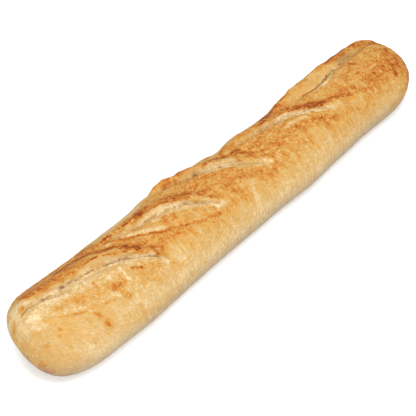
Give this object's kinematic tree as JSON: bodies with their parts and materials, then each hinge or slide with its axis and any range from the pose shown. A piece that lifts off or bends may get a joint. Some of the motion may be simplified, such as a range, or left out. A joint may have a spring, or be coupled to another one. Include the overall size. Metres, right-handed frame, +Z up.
{
  "type": "sourdough loaf",
  "caption": "Long blunt-ended sourdough loaf with slanting slashes that opened into raised ears, resting on its flat sole.",
  "frame": {"origin": "middle of the loaf's bounding box, on the surface that it rests on", "axes": "+X along the loaf toward its slimmer end, +Z up, and the slashes open toward -Y"},
  "size_m": [0.45, 0.085, 0.0593],
  "materials": {
    "crust": "baked crust: pale golden flanks, golden-orange top, browned ears"
  },
  "bodies": {
    "root": {"loaf": "crust"}
  },
  "joints": []
}
